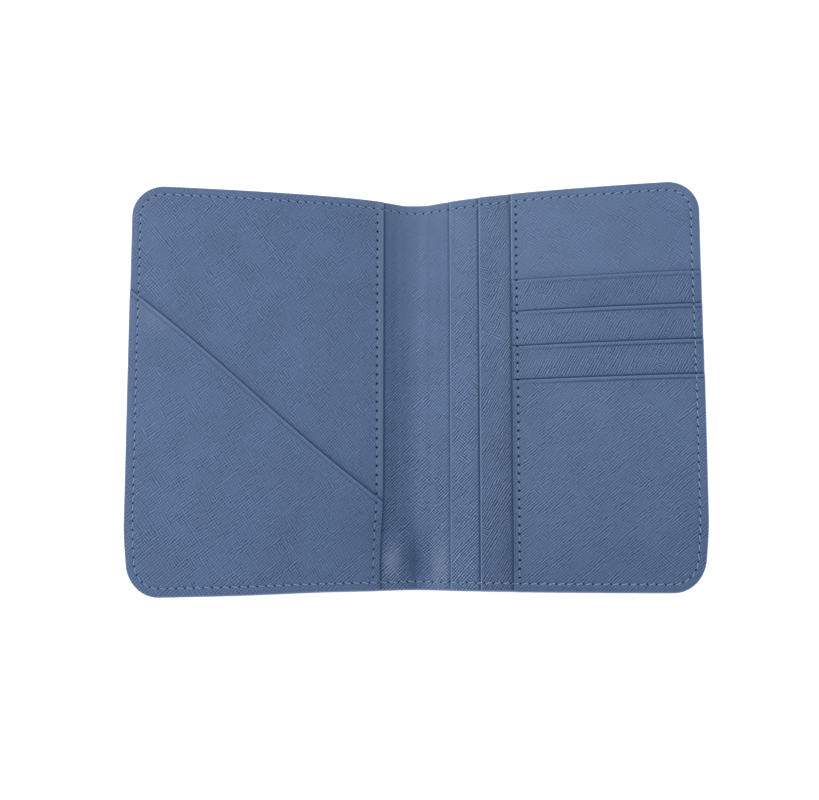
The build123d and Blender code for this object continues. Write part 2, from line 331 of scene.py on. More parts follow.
def loop_point(share, inset):
    """Point at a share of the way round one cover, from the spine's head to its tail."""
    radius = CORNER_RADIUS - inset
    along = np.minimum(share, 1 - share) * 2 * half_loop(inset)
    angle = np.clip((along - BEND_X) / radius, 0, pi / 2)
    x = np.minimum(along, BEND_X) + radius * np.sin(angle)
    down = np.maximum(along - BEND_X - radius * pi / 2, 0)
    y = BEND_Y + radius * np.cos(angle) - down
    return x, np.where(share > 0.5, -y, y)


def diagonal_y(x):
    """Height up the cover of the diagonal pocket's mouth."""
    share = (x - SLEEVE_MOUTH) / (HALF_WIDTH - SLEEVE_MOUTH)
    wave = DIAGONAL_WAVE * np.sin(2 * pi * share)
    return DIAGONAL_INNER_Y + share * (DIAGONAL_OUTER_Y - DIAGONAL_INNER_Y) - wave


def top_of(sheet):
    return sheet[0] + sheet[1]


def step_up(distance):
    """A step of one sheet, softened because what lies over it can't follow a sharp one."""
    return ease(distance, -STEP_BLUR, STEP_BLUR)


def lining_low(side, x):
    """Height of the lining's underside, which climbs onto the front cover's thick board."""
    climb = FRONT_LINING[0] - BACK_LINING[0] if side == FRONT else 0.0
    return BACK_LINING[0] + climb * ease(x, *LINING_CLIMB)


def level(side, x, y):
    """Height of the top sheet over the outer face."""
    if side == FRONT:
        sleeve = step_up(x - SLEEVE_MOUTH)
        lining_top = lining_low(side, x) + FRONT_LINING[1]
        rise = lining_top + (top_of(FRONT_SLEEVE) - lining_top) * sleeve
        return rise + (top_of(DIAGONAL) - top_of(FRONT_SLEEVE)) * step_up(diagonal_y(x) - y) * sleeve
    rise = top_of(BACK_LINING) + (top_of(BACK_SLEEVE) - top_of(BACK_LINING)) * step_up(x - BACK_SLEEVE_MOUTH)
    rise = rise + (top_of(SLIP) - top_of(BACK_SLEEVE)) * step_up(x - SLIP_MOUTH)
    cards = step_up(x - CARD_EDGE)
    rise = rise + (top_of(CARD_BASE) - top_of(SLIP)) * cards
    below = CARD_BASE
    for mouth, sheet in zip(SLOT_MOUTHS, [*STRIPS, CARD_FRONT]):
        rise = rise + (top_of(sheet) - top_of(below)) * step_up(mouth - y) * cards
        below = sheet
    return rise


PERIMETER_STITCHES = round(2 * half_loop(SEAM_INSET) / STITCH_PITCH)
COVER_SEAM_END = HALF_HEIGHT - SEAM_INSET - COVER_SEAM_GAP
COVER_STITCHES = {
    FRONT: round(2 * COVER_SEAM_END / SLEEVE_STITCH_PITCH),
    BACK: round(2 * COVER_SEAM_END / STITCH_PITCH),
}


def seam_marks(side, x, y, cover_seam=True):
    """Distance across the nearest seam, and the count of stitches along it."""
    radius = CORNER_RADIUS - SEAM_INSET
    up = np.abs(y) - BEND_Y
    angle = np.arctan2(np.maximum(x - BEND_X, 0), np.maximum(up, 1e-6))
    along = np.minimum(x, BEND_X) + radius * angle + np.maximum(-up, 0) * (x > BEND_X)
    perimeter_across = edge_distance(x, y) - SEAM_INSET
    perimeter_count = along / (2 * half_loop(SEAM_INSET)) * PERIMETER_STITCHES
    seam_x = SLEEVE_SEAM if side == FRONT else CARD_SEAM
    past_end = np.maximum(np.abs(y) - COVER_SEAM_END, 0)
    cover_across = np.hypot(x - seam_x, past_end)
    cover_count = (y + COVER_SEAM_END) / (2 * COVER_SEAM_END) * COVER_STITCHES[side]
    nearer = (np.abs(perimeter_across) < cover_across) | (not cover_seam)
    across = np.where(nearer, perimeter_across, cover_across)
    return across, np.where(nearer, perimeter_count, cover_count)


def edge_fall(x, y, drop):
    """How far a face falls towards the painted edge."""
    return drop * np.clip(1 - edge_distance(x, y) / SEAM_INSET, 0, 1) ** EDGE_ROUNDING


def press(side, x, y):
    """How far the thread and the painted edge pull the leather in."""
    across, count = seam_marks(side, x, y)
    groove = GROOVE_DEPTH * bell(across, GROOVE_WIDTH) * (1 + STITCH_PULL * np.cos(2 * pi * count))
    return groove + edge_fall(x, y, EDGE_DROP)


def press_outside(x, y):
    """The same on the outer face, where only the perimeter seam comes through."""
    groove = OUTER_GROOVE_DEPTH * bell(edge_distance(x, y) - SEAM_INSET, OUTER_GROOVE_WIDTH)
    return groove + edge_fall(x, y, OUTER_EDGE_DROP)


def rumple(side, x, y):
    """Height of the slow waves of a cover."""
    phase = RUMPLE_PHASE[side]
    long_wave = np.sin(x / LONG_WAVE[0] + y / LONG_WAVE[1] + phase)
    cross_wave = np.cos(y / CROSS_WAVE[1] - x / CROSS_WAVE[0] + phase)
    return RUMPLE_HEIGHT * ease(x, *RUMPLE_REACH) * long_wave * cross_wave


def place(side, x, y, height):
    """Height above the table of a point of a layer, pressed in at the seams and edges."""
    share = np.clip(height / level(side, x, y), 0, 1)
    pressed = height - press(side, x, y) * share + press_outside(x, y) * (1 - share)
    return section_z(x, pressed) + rumple(side, x, y)


def lining_rise(side, x, y):
    """How far the lining stands off the creases, with its puckers at the head and tail."""
    top = lining_low(side, x) + BACK_LINING[1]
    valley = top_of(BACK_LINING) + VALLEY_SLOPE * (np.sqrt(x**2 + VALLEY_ROUNDING**2) - VALLEY_ROUNDING)
    gap = valley - section_z(x, top)
    bridge = (gap + np.sqrt(gap**2 + BRIDGE_ROUNDING)) / 2
    inset = HALF_HEIGHT - np.abs(y)
    sewn = SEWN_LIFT + (1 - SEWN_LIFT) * ease(inset, *SEWN_RUN)
    pucker = np.where(y < 0, 1.0, HEAD_PUCKER) * spots(x, inset, LINING_PUCKER)
    return (bridge * sewn + pucker) * (1 - ease(x, *VALLEY_EDGE))


def top_rise(side, x, y):
    """What the lining adds to the top sheet where it is the top sheet."""
    mouth = SLEEVE_MOUTH if side == FRONT else BACK_SLEEVE_MOUTH
    return lining_rise(side, x, y) * (1 - step_up(x - mouth))


# ---- Meshes ----

SHARP_ANGLE = radians(50)
NOSE_ANGLES = np.radians([8, 25, 42, 60, 78])
FOLD_ZONE = 2.4
FOLD_STEP = 0.18
PANEL_STEP = 0.7
ROW_STEP = 0.6
FINE_CORNER = 27
COARSE_CORNER = 9
FAR = 99.0


def out_of_true(points):
    """Points as the sewn holder has pulled them: its head and tail slant, its tail is drawn in at the corners
    and a little hollow, and the front sleeve's mouth leans there."""
    x, y, z = points.T
    x = x - SLEEVE_LEAN * ease(x, *LEAN_FROM_SPINE) * (1 - ease(x, *LEAN_TO_SIDE)) * ease(y, *LEAN_TO_TAIL)
    x = x - np.sign(x) * TAIL_TUCK * ease(y, *NEAR_TAIL) * (np.abs(x) / HALF_WIDTH) ** TUCK_POWER
    hollow = TAIL_HOLLOW * bell(x - HOLLOW_X, HOLLOW_WIDTH) * ease(y, *NEAR_TAIL)
    return np.stack([x, y + OUT_OF_SQUARE * x + hollow, z], axis=-1)


def add_object(name, data):
    thing = bpy.data.objects.new(name, data)
    scene.collection.objects.link(thing)
    return thing


def new_piece(name, points, faces, material, marks=None, uv=None):
    """A mesh object from points in millimetres, with a value per point for each named mark."""
    mesh = bpy.data.meshes.new(name)
    mesh.from_pydata((out_of_true(points) * MM).tolist(), [], faces)
    for mark, values in (marks or {}).items():
        mesh.attributes.new(mark, "FLOAT", "POINT").data.foreach_set("value", values.astype(np.float32))
    if uv is not None:
        corners = np.zeros(len(mesh.loops), np.int32)
        mesh.loops.foreach_get("vertex_index", corners)
        mesh.uv_layers.new(name="grain").data.foreach_set("uv", uv[corners].astype(np.float32).ravel())
    mesh.polygons.foreach_set("use_smooth", [True] * len(mesh.polygons))
    mesh.set_sharp_from_angle(angle=SHARP_ANGLE)
    mesh.materials.append(material)
    piece = add_object(name, mesh)
    return piece


def closed_grid(columns, rows, flip):
    """Faces of a closed sheet from two grids of points, the upper one first."""
    index = np.arange(columns * rows).reshape(columns, rows)
    quads = np.stack([index[:-1, :-1], index[1:, :-1], index[1:, 1:], index[:-1, 1:]], axis=-1).reshape(-1, 4)
    below = columns * rows
    rim = np.concatenate([index[:, 0], index[-1, 1:], index[-2::-1, -1], index[0, -2:0:-1]])
    ahead = np.roll(rim, -1)
    walls = np.stack([rim + below, ahead + below, ahead, rim], axis=-1)
    faces = np.concatenate([quads, quads[:, ::-1] + below, walls])
    return (faces[:, ::-1] if flip else faces).tolist()


def spaced(start, end, step):
    return np.linspace(start, end, max(2, round(abs(end - start) / step) + 1))


EDGE_LINES = spaced(0, 4, 0.25)


def from_fold(thickness):
    """Distances from a folded edge at which its section needs a line: the nose, then the pressed crease."""
    nose_lines = thickness / 2 * (1 - np.cos(NOSE_ANGLES))
    return np.concatenate([nose_lines, spaced(thickness / 2, FOLD_ZONE, FOLD_STEP)])


def cover_columns(start, thickness, step, folded):
    """Distances from the middle at which a sheet has a column of points, closer at folds and corners."""
    opening = start + (from_fold(thickness) if folded else np.array([0.0]))
    middle = spaced(opening[-1], BEND_X, step)[1:]
    turns = np.linspace(0, pi / 2, COARSE_CORNER if step > 1 else FINE_CORNER)[1:]
    return np.concatenate([opening, middle, BEND_X + (CORNER_RADIUS - PANEL_INSET) * np.sin(turns)])


def plan_grid(columns, bottom, top, from_bottom, from_top, step):
    """Points seen from above: rows in every column, at fixed distances from both ends and even between."""
    low = bottom[:, None] + from_bottom
    high = top[:, None] - from_top[::-1]
    count = max(2, round(np.max(high[:, 0] - low[:, -1]) / step))
    shares = np.linspace(0, 1, count + 1)[1:-1]
    middle = low[:, -1:] + (high[:, :1] - low[:, -1:]) * shares
    ys = np.concatenate([low, middle, high], axis=1)
    return np.broadcast_to(columns[:, None], ys.shape).copy(), ys


def nose(distance, thickness):
    """Share of a folded sheet's thickness at a distance from its fold."""
    return np.sqrt(np.clip(1 - np.clip(1 - distance / (thickness / 2), 0, 1) ** 2, 0.01, 1))


def sheet_piece(name, side, sheet, xs, ys, material, slot, angle, mouth=None, lift=0.0, shift=0.0, over=None,
                hem=None, shade=None, crisp=(1.0, 1.0), burnish=1.0, worn=1.0, cover_seam=True):
    """A closed sheet of leather over a grid of plan points, with a rounded fold where mouth is near 0.

    over gives the distance to the fold of the sheet that lies over this one, hem how far a turned hem shows,
    shade how much painted shade darkens the leather, or below zero how much painted light lightens it, and
    crisp how sharp its grain is at the head and at the tail. The last three set how dark the painted shadow
    line along the upper sheet's fold is, how light its own fold is from wear and painted highlight, and
    whether the seam along the pockets' edge goes through it."""
    low, thickness = sheet
    if mouth is None:
        mouth = np.full_like(xs, FAR)
    share = nose(mouth, thickness)
    hem = np.zeros_like(xs) if hem is None else hem(xs, ys)
    crease = FOLD_CREASE_DEPTH * bell(mouth - FOLD_CREASE, FOLD_CREASE_WIDTH) * hem
    plump = HEM_PLUMP * bell(mouth - HEM_MIDDLE, HEM_WIDTH) * hem
    rise = MOUTH_LIFT * bell(mouth, MOUTH_LIFT_WIDTH) * ease(edge_distance(xs, ys), *MOUTH_FREE) + lift
    middle = low + thickness / 2 + rise
    upper = place(side, xs, ys, middle + thickness / 2 * share - crease + plump)
    lower = place(side, xs, ys, middle - thickness / 2 * share)
    points = np.concatenate([np.stack([side * xs, ys, zs], axis=-1).reshape(-1, 3) for zs in (upper, lower)])
    across, count = seam_marks(side, xs, ys, cover_seam)
    cover = np.full_like(xs, FAR) if over is None else over(xs, ys)
    # Painted shade: a shadow by the fold that lies over this sheet and the cover's soft patches, then the
    # sheet's own painted shade or light
    dark = NEAR_FOLD_SHADE * bell(np.maximum(cover, 0), NEAR_FOLD_WIDTH) + patches(xs, ys, COVER_SHADES[side])
    if shade is not None:
        dark = dark + shade(xs, ys)
    values = {
        "mouth": mouth,
        "inset": edge_distance(xs, ys),
        "seam_across": across,
        "seam_count": count,
        "cover": cover,
        "hem": hem,
        "shade": dark,
        "crisp": crisp[1] + (crisp[0] - crisp[1]) * (ys + HALF_HEIGHT) / (2 * HALF_HEIGHT),
        "burnish": np.full_like(xs, burnish),
        "worn": np.full_like(xs, worn),
    }
    marks = {key: np.tile(value.ravel(), 2) for key, value in values.items()}
    turn = radians(angle)
    u, v = side * run_at(xs) + shift, ys
    uv = np.stack([u * cos(turn) + v * sin(turn), v * cos(turn) - u * sin(turn)], axis=-1).reshape(-1, 2)
    faces = closed_grid(*xs.shape, side == FRONT)
    return new_piece(name, points, faces, material, marks, np.tile(uv, (2, 1)))


def full_sheet(name, side, sheet, start, material, angle, **more):
    """A panel from its mouth at x = start to the painted edges at the head, the tail and the side."""
    columns = cover_columns(start, sheet[1], PANEL_STEP, True)
    edge = outline_y(columns, PANEL_INSET)
    xs, ys = plan_grid(columns, -edge, edge, EDGE_LINES, EDGE_LINES, ROW_STEP)
    return sheet_piece(name, side, sheet, xs, ys, material, "pocket_leather", angle, xs - start, **more)


def pocket_sheet(name, side, sheet, start, bottom, top, material, angle, sewn_below=True, **more):
    """A pocket whose mouth is its upper edge: top and bottom are functions of x."""
    columns = cover_columns(start, sheet[1], PANEL_STEP, side == BACK)
    high = top(columns)
    ends = EDGE_LINES if sewn_below else np.array([0.0])
    xs, ys = plan_grid(columns, bottom(columns), high, ends, from_fold(sheet[1]), ROW_STEP)
    slant = np.arctan(np.gradient(high, columns))[:, None]
    mouth = (high[:, None] - ys) * np.cos(slant)
    if side == BACK:
        mouth = np.minimum(mouth, np.where(xs - start < sheet[1] / 2, xs - start, FAR))
    return sheet_piece(name, side, sheet, xs, ys, material, "pocket_leather", angle, mouth, **more)


def fold_with(piece):
    """Bake a piece's placement into its mesh."""
    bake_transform(piece)


def on_cover(piece, side):
    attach(piece, f"{NAMES[side]}_cover")


# ---- Edge paint and thread ----

MIDDLE_HEIGHT = 1.5
PAINT_ANGLES = np.radians(np.linspace(90, -90, 15))
BEAD_STEP = 0.45
BEAD_WIDTH_POWER = 0.85
BEAD_HEIGHT_POWER = 0.8
PAINT_FOOT = 0.02
THREAD_FOOT = 0.01


def tube_faces(number, rings, around):
    """Faces of tubes with capped ends, each a row of rings of points."""
    index = np.arange(number * rings * around).reshape(number, rings, around)
    following = np.roll(index, -1, axis=2)
    corners = [index[:, :-1], index[:, 1:], following[:, 1:], following[:, :-1]]
    quads = np.stack(corners, axis=-1).reshape(-1, 4)
    return quads.tolist() + index[:, 0].tolist() + index[:, -1, ::-1].tolist()


def painted_edge(name, side, material):
    """A rounded bead of paint along the head, the side and the tail of one half of the holder."""
    share = spaced(0, 1, BEAD_STEP / (2 * half_loop(0)))
    inner_x, inner_y = loop_point(share, PAINT_WIDTH)
    rise = top_rise(side, inner_x, inner_y)
    top = place(side, inner_x, inner_y, level(side, inner_x, inner_y)) + rise + PAINT_PROUD
    bottom = place(side, inner_x, inner_y, np.zeros_like(inner_x)) - PAINT_PROUD
    bottom = np.maximum(bottom, PAINT_FOOT)
    middle, half = (top + bottom) / 2, (top - bottom) / 2
    rings = []
    for angle in PAINT_ANGLES:
        inset = PAINT_WIDTH * (1 - abs(cos(angle)) ** BEAD_WIDTH_POWER)
        x, y = loop_point(share, inset)
        tilt = section_z(x, MIDDLE_HEIGHT) - section_z(inner_x, MIDDLE_HEIGHT)
        bulge = np.sign(sin(angle)) * abs(sin(angle)) ** BEAD_HEIGHT_POWER
        rings.append(np.stack([side * x, y, middle + tilt + half * bulge], axis=-1))
    points = np.stack(rings, axis=1)
    faces = tube_faces(1, *points.shape[:2])
    if side == BACK:
        faces = [face[::-1] for face in faces]
    lengths = share * 2 * half_loop(0)
    uv = np.stack(np.broadcast_arrays(lengths[:, None], np.degrees(PAINT_ANGLES) / 30), axis=-1)
    piece = new_piece(name, points.reshape(-1, 3), faces, material, uv=uv.reshape(-1, 2))
    fold_with(piece)
    return piece


STITCH_RINGS = np.linspace(-1, 1, 11)
THREAD_SIDES = np.linspace(0, 2 * pi, 9)[:-1]


def unit(vectors):
    return vectors / np.linalg.norm(vectors, axis=-1, keepdims=True)


def stitches(number, locate, slant):
    """Tubes of thread from hole to hole: each dips into the leather at both ends and lies a little aslant.

    locate turns counts of stitches and offsets across the seam into points and normals."""
    bow = STITCH_RINGS[None, :]
    count = np.arange(number)[:, None] + 0.5 + STITCH_HALF_SHARE * bow
    aslant = -slant * bow * np.ones_like(count)
    points, normals = locate(count, aslant)
    depth = STITCH_DIP * np.abs(bow) ** 4
    points = points + normals * (THREAD_HALF_RISE * THREAD_SIT - depth[..., None])
    heading = unit(np.gradient(points, axis=1))
    across = unit(np.cross(heading, normals))
    upright = np.cross(across, heading)
    plump = (THREAD_END + (1 - THREAD_END) * (1 - np.abs(bow) ** 4))[..., None, None]
    wide = across[:, :, None] * np.cos(THREAD_SIDES)[:, None] * THREAD_HALF_WIDTH
    tall = upright[:, :, None] * np.sin(THREAD_SIDES)[:, None] * THREAD_HALF_RISE
    tubes = points[:, :, None] + (wide + tall) * plump
    uv = np.stack(np.broadcast_arrays(count[..., None] * STITCH_PITCH, THREAD_SIDES / (2 * pi)), axis=-1)
    return tubes.reshape(-1, 3), tube_faces(*tubes.shape[:3]), uv.reshape(-1, 2)


def surface_point(side, x, y, outside):
    """A point on the inner or outer face, with the normal that points out of the leather there."""
    height = 0 * x if outside else level(side, x, y) + top_rise(side, x, y)
    slope = section_slope(x, 0.0 if outside else MIDDLE_HEIGHT)
    normal = np.stack([-side * np.sin(slope), np.zeros_like(x), np.cos(slope)], axis=-1)
    return np.stack([side * x, y, place(side, x, y, height)], axis=-1), -normal if outside else normal


def perimeter_thread(name, side, material):
    """Stitches along the head, the side and the tail, on the inner face and on the outer one."""

    def locate(count, aslant, outside):
        x, y = loop_point(count / PERIMETER_STITCHES, SEAM_INSET)
        ahead = loop_point((count + 0.01) / PERIMETER_STITCHES, SEAM_INSET)
        heading = unit(np.stack([ahead[0] - x, ahead[1] - y], axis=-1))
        x, y = x + heading[..., 1] * aslant, y - heading[..., 0] * aslant
        return surface_point(side, np.abs(x), y, outside)

    def sewn(outside):
        return stitches(PERIMETER_STITCHES, lambda *at: locate(*at, outside), PERIMETER_SLANT)

    inner, inner_faces, uv = sewn(False)
    outer, outer_faces, outer_uv = sewn(True)
    faces = inner_faces + [[corner + len(inner) for corner in face] for face in outer_faces]
    points = np.concatenate([inner, outer])
    points[:, 2] = np.maximum(points[:, 2], THREAD_FOOT)
    piece = new_piece(name, points, faces, material, uv=np.concatenate([uv, outer_uv]))
    fold_with(piece)
    return piece


def cover_thread(name, side, seam_x, material):
    """Stitches along the folded edge of a pocket panel."""

    def locate(count, aslant):
        y = (count / COVER_STITCHES[side] * 2 - 1) * COVER_SEAM_END
        return surface_point(side, seam_x + aslant, y, False)

    points, faces, uv = stitches(COVER_STITCHES[side], locate, COVER_SLANT)
    piece = new_piece(name, points, faces, material, uv=uv)
    on_cover(piece, side)
    return piece


# ---- Materials ----


class Shader:
    """A material whose nodes are added one call at a time."""

    def __init__(self, name):
        self.material = bpy.data.materials.new(name)
        self.material.use_nodes = True
        self.tree = self.material.node_tree
        self.surface = self.tree.nodes["Principled BSDF"]

    def add(self, kind, inputs=(), **settings):
        """A node with its settings and inputs, which are numbers, colours or other nodes' outputs."""
        node = self.tree.nodes.new(kind)
        for key, value in settings.items():
            setattr(node, key, value)
        for key, value in dict(inputs).items():
            self.set(node.inputs[key], value)
        return node

    def set(self, socket, value):
        if isinstance(value, bpy.types.NodeSocket):
            self.tree.links.new(value, socket)
        else:
            socket.default_value = value

    def math(self, operation, *values):
        return self.add("ShaderNodeMath", enumerate(values), operation=operation).outputs[0]

    def times(self, first, second):
        return self.math("MULTIPLY", first, second)

    def vector(self, operation, *values):
        return self.add("ShaderNodeVectorMath", enumerate(values), operation=operation).outputs[0]

    def noise(self, vector, scale, detail=2.0, distortion=0.0):
        inputs = {"Vector": vector, "Scale": scale, "Detail": detail, "Distortion": distortion}
        return self.add("ShaderNodeTexNoise", inputs).outputs["Fac"]

    def turned(self, vector, angle, scale=(1, 1, 1)):
        """A vector turned by an angle about Z, then scaled."""
        turn = self.add("ShaderNodeVectorRotate", {"Vector": vector, "Angle": angle}, rotation_type="Z_AXIS")
        return self.vector("MULTIPLY", turn.outputs[0], scale)

    def ramp(self, value, low, high, to_low=0.0, to_high=1.0, kind="SMOOTHSTEP"):
        inputs = {0: value, 1: low, 2: high, 3: to_low, 4: to_high}
        return self.add("ShaderNodeMapRange", inputs, interpolation_type=kind).outputs[0]

    def mix(self, share, first, second):
        node = self.add("ShaderNodeMix", data_type="RGBA")
        for socket, value in zip((node.inputs[0], node.inputs[6], node.inputs[7]), (share, first, second)):
            self.set(socket, value)
        return node.outputs[2]

    def mark(self, name):
        return self.add("ShaderNodeAttribute", attribute_name=name).outputs["Fac"]

    def grain(self):
        return self.add("ShaderNodeUVMap", uv_map="grain").outputs["UV"]

    def bump(self, height, distance, strength=1.0):
        inputs = {"Height": height, "Distance": distance, "Strength": strength}
        self.set(self.surface.inputs["Normal"], self.add("ShaderNodeBump", inputs).outputs[0])

    def finish(self, colour, roughness, **others):
        self.set(self.surface.inputs["Base Color"], colour)
        self.set(self.surface.inputs["Roughness"], roughness)
        for key, value in others.items():
            self.set(self.surface.inputs[key.replace("_", " ")], value)
        return self.material


def tone(colour, factor):
    return (*[channel * factor for channel in colour], 1.0)


GRAIN_PITCH = 0.85
FINE_PITCH = 0.79
GRAIN_SWING = (1.38, 1.2, 0.98)
# Colours mixed into the leather: painted shade, painted light, wear and painted highlight on folds, dark
# creases and painted shadow lines by overlying folds, and painted shade in stitch holes
NAVY = (0.013, 0.043, 0.12, 1)
PALE = (0.25, 0.31, 0.42, 1)
WEAR_HIGHLIGHT_BLUE = (0.21, 0.30, 0.45, 1)
LINE_NAVY = (0.003, 0.031, 0.107, 1)
HOLE_DARK = (0.0, 0.008, 0.04, 1)
CROSS_ANGLE = radians(96)
GRAIN_FLOOR = (0.2, 0.2, 0.2)
BEYOND_SEAM = 0.85

# Stitch holes carry painted shade; they are larger and darker on a cover's own seam than on the perimeter's,
# which lies nearer the edge
HOLE_ZONE = (SEAM_INSET + 0.6, SEAM_INSET + 1.2)
HOLE_RADII = (0.34, 0.56)
HOLE_STRENGTHS = (0.88, 0.97)
HOLE_CORE = 0.18
HOLE_DEPTH = 4.0


def grain_lines(shader, uv, angle, seed, pitch):
    """Long fine ridges along one direction, a little uneven and fainter here and there: -0.5 to 0.5."""
    along = shader.turned(uv, -angle)
    shifted = shader.vector("ADD", along, (seed, seed, 0))
    drift = shader.noise(shader.turned(shifted, 0.0, (0.07, 0.2, 1)), 1.0, 1.0)
    across = shader.add("ShaderNodeSeparateXYZ", {0: shifted}).outputs[1]
    wobble = shader.noise(shader.turned(shifted, 0.0, (0.5, 0.8, 1)), 1.0, 2.0)
    bent = shader.math("MULTIPLY_ADD", drift, 1.25, shader.math("MULTIPLY_ADD", wobble, 0.9, across))
    wave = shader.math("SINE", shader.times(bent, 2 * pi / pitch))
    faint = shader.noise(shader.turned(shifted, 0.0, (0.45, 0.9, 1)), 1.0, 2.0)
    return shader.times(wave, shader.ramp(faint, 0.3, 0.55, 0.3, 0.5))


def cross_hatch(shader, uv, balance, lesser, pitch):
    """Two sets of ridges, one or the other stronger from patch to patch."""
    patch = shader.noise(uv, 0.17, 2.0, 0.4)
    first_share = shader.ramp(patch, balance - 0.14, balance + 0.1, lesser, 1.0)
    second_share = shader.ramp(patch, balance - 0.1, balance + 0.14, 1.0, lesser)
    first = shader.times(grain_lines(shader, uv, 0.0, 3.0, pitch), first_share)
    second = shader.times(grain_lines(shader, uv, CROSS_ANGLE, 41.0, pitch), second_share)
    both = shader.math("ADD", first, second)
    return shader.math("DIVIDE", both, shader.math("ADD", first_share, second_share))


def relief_strength(shader, uv, inset, mouth):
    """How sharp the grain is: less outside the seam, at a fold and in calm patches."""
    past_seam = shader.ramp(inset, SEAM_INSET - 0.4, SEAM_INSET + 0.3, BEYOND_SEAM, 1.0)
    at_fold = shader.ramp(mouth, 0.2, 1.1, 0.5, 1.0)
    calm = shader.ramp(shader.noise(uv, 0.15, 2.0), 0.36, 0.6, 0.5, 1.0)
    return shader.times(shader.times(calm, shader.times(past_seam, at_fold)), shader.mark("crisp"))


def stitch_hole(shader, inset, across):
    """1 in a stitch's hole and 0 outside it, then how dark the hole's painted shade is."""
    from_hole = shader.times(shader.math("PINGPONG", shader.mark("seam_count"), 0.5), STITCH_PITCH)
    squares = shader.math("ADD", shader.math("POWER", from_hole, 2.0), shader.math("POWER", across, 2.0))
    radius = shader.ramp(inset, *HOLE_ZONE, *HOLE_RADII)
    strength = shader.ramp(inset, *HOLE_ZONE, *HOLE_STRENGTHS)
    return shader.ramp(shader.math("SQRT", squares), HOLE_CORE, radius, 1.0, 0.0), strength


def leather(name, colour, balance, lesser, depth=0.05, pitch=GRAIN_PITCH):
    """Cross-hatched leather with folds lightened by wear and painted highlight, dark creases, painted shadow
    lines by the folds that lie over it, painted shade and light, and stitch holes dark with painted shade.

    balance is the noise value at which the first set of ridges takes over; a low one makes it rule. lesser is
    the share that the weaker set keeps."""
    shader = Shader(name)
    uv = shader.grain()
    inset, across, mouth = shader.mark("inset"), shader.mark("seam_across"), shader.mark("mouth")
    hatch = shader.math("SUBTRACT", cross_hatch(shader, uv, balance, lesser, pitch), 0.03)
    relief = shader.times(hatch, relief_strength(shader, uv, inset, mouth))
    hole, hole_strength = stitch_hole(shader, inset, across)

    cloud = shader.noise(uv, 0.055, 3.0)
    ground = shader.mix(shader.ramp(cloud, 0.3, 0.7), tone(colour, 0.95), tone(colour, 1.05))
    swing = shader.vector("MULTIPLY_ADD", relief, GRAIN_SWING, (1, 1, 1))
    tint = shader.vector("MULTIPLY", ground, shader.vector("MAXIMUM", swing, GRAIN_FLOOR))

    shade, hem = shader.mark("shade"), shader.mark("hem")
    from_crease = shader.math("ABSOLUTE", shader.math("SUBTRACT", mouth, FOLD_CREASE))
    from_seam = shader.math("ABSOLUTE", across)
    burnished = shader.ramp(shader.mark("cover"), 0.35, 0.95, 1.0, 0.0)
    # Colour layers: painted shade and painted light from the shade mark, a lighter hem, wear and painted
    # highlight on the fold, a dark crease, the painted shadow line by the fold over the sheet, a darker seam
    # and painted shade in the stitch holes
    layers = [
        (shader.ramp(shade, 0, 1, kind="LINEAR"), NAVY),
        (shader.ramp(shade, -1, 0, 1, 0, kind="LINEAR"), PALE),
        (shader.times(hem, shader.ramp(mouth, 0.9, 1.3, 0.3, 0.0)), tone(colour, 1.4)),
        (shader.times(shader.mark("worn"), shader.ramp(mouth, 0.2, 0.55, 0.5, 0.0)), WEAR_HIGHLIGHT_BLUE),
        (shader.times(hem, shader.ramp(from_crease, 0.18, 0.5, 0.9, 0.0)), LINE_NAVY),
        (shader.times(shader.mark("burnish"), burnished), LINE_NAVY),
        (shader.ramp(from_seam, 0.25, 0.8, 0.3, 0.0), tone(colour, 0.75)),
        (shader.times(hole, hole_strength), HOLE_DARK),
    ]
    for share, layer in layers:
        tint = shader.mix(share, tint, layer)

    speck = shader.noise(uv, 2.2, 3.0)
    height = shader.math("MULTIPLY_ADD", hole, -HOLE_DEPTH, shader.math("MULTIPLY_ADD", speck, 0.16, relief))
    shader.bump(height, depth * MM)
    gloss = shader.ramp(relief, -0.45, 0.55, 0.54, 0.39)
    rough = shader.math("MULTIPLY_ADD", speck, 0.12, gloss)
    return shader.finish(tint, rough, Specular_IOR_Level=shader.ramp(hole, 0, 1, 0.42, 0.05, kind="LINEAR"))


def edge_paint(name, colour):
    """Smooth paint with brush ripple and slight pooling."""
    shader = Shader(name)
    uv = shader.grain()
    ripple = shader.noise(shader.turned(uv, 0.0, (0.35, 1.2, 1)), 1.0, 3.0)
    pool = shader.noise(uv, 0.12, 2.0)
    ground = shader.mix(shader.ramp(pool, 0.3, 0.7), tone(colour, 0.9), tone(colour, 1.1))
    shader.bump(ripple, 0.03 * MM)
    return shader.finish(ground, shader.ramp(ripple, 0.2, 0.8, 0.38, 0.52), Specular_IOR_Level=0.5)


def waxed_thread(name, colour):
    """Twisted thread: plies wind round it, with painted highlight on their crowns and painted shade between.
    """
    shader = Shader(name)
    split = shader.add("ShaderNodeSeparateXYZ", {0: shader.grain()})
    twist = shader.math("MULTIPLY_ADD", split.outputs[0], 1.3, shader.times(split.outputs[1], 3.0))
    ply = shader.math("MULTIPLY_ADD", shader.math("SINE", shader.times(twist, 2 * pi)), 0.5, 0.5)
    fibre = shader.noise(shader.grain(), 6.0, 3.0)
    height = shader.math("MULTIPLY_ADD", fibre, 0.3, ply)
    ground = shader.mix(shader.ramp(height, 0.1, 1.1), tone(colour, 0.72), tone(colour, 1.15))
    shader.bump(height, 0.05 * MM)
    return shader.finish(ground, shader.ramp(fibre, 0.3, 0.7, 0.42, 0.6), Sheen_Weight=0.25)


